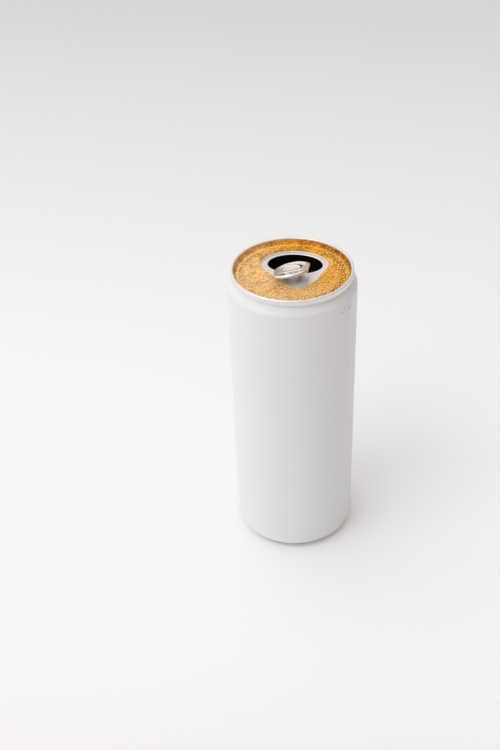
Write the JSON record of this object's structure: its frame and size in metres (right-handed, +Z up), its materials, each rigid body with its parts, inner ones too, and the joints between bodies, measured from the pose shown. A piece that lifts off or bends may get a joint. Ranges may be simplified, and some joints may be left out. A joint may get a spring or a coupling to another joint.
{
  "type": "soda can",
  "caption": "Opened slim drinks can, plain white with a bare metal end, ring tab half lifted on its rivet, torn-in mouth, and amber drink inside and pooled on the end.",
  "frame": {"origin": "middle of the base, on the surface the can stands on", "axes": "+Z up along the can's own axis, +Y from the rivet towards the mouth, +X to the right of that"},
  "size_m": [0.0574, 0.0574, 0.1523],
  "materials": {
    "white_coat": "satin white coating",
    "bare_metal": "bright rolled sheet",
    "drink": "wet, clear amber"
  },
  "bodies": {
    "can": {"can_body": "white_coat", "can_end": "bare_metal", "lid_drink": "drink", "drink": "drink"},
    "island": {"tab_island": "bare_metal"},
    "tab": {"tab": "bare_metal"}
  },
  "joints": [
    {"name": "tab_swivel", "type": "hinge", "parent": "can", "child": "island", "pos_m": [0, 0, 0.144], "axis": [0, 0, 1], "range_deg": [-12, 12]},
    {"name": "tab_lift", "type": "hinge", "parent": "island", "child": "tab", "pos_m": [-0.00024, 0.00349, 0.144], "axis": [-0.9976, -0.0698, 0], "range_deg": [-5, 24]}
  ]
}
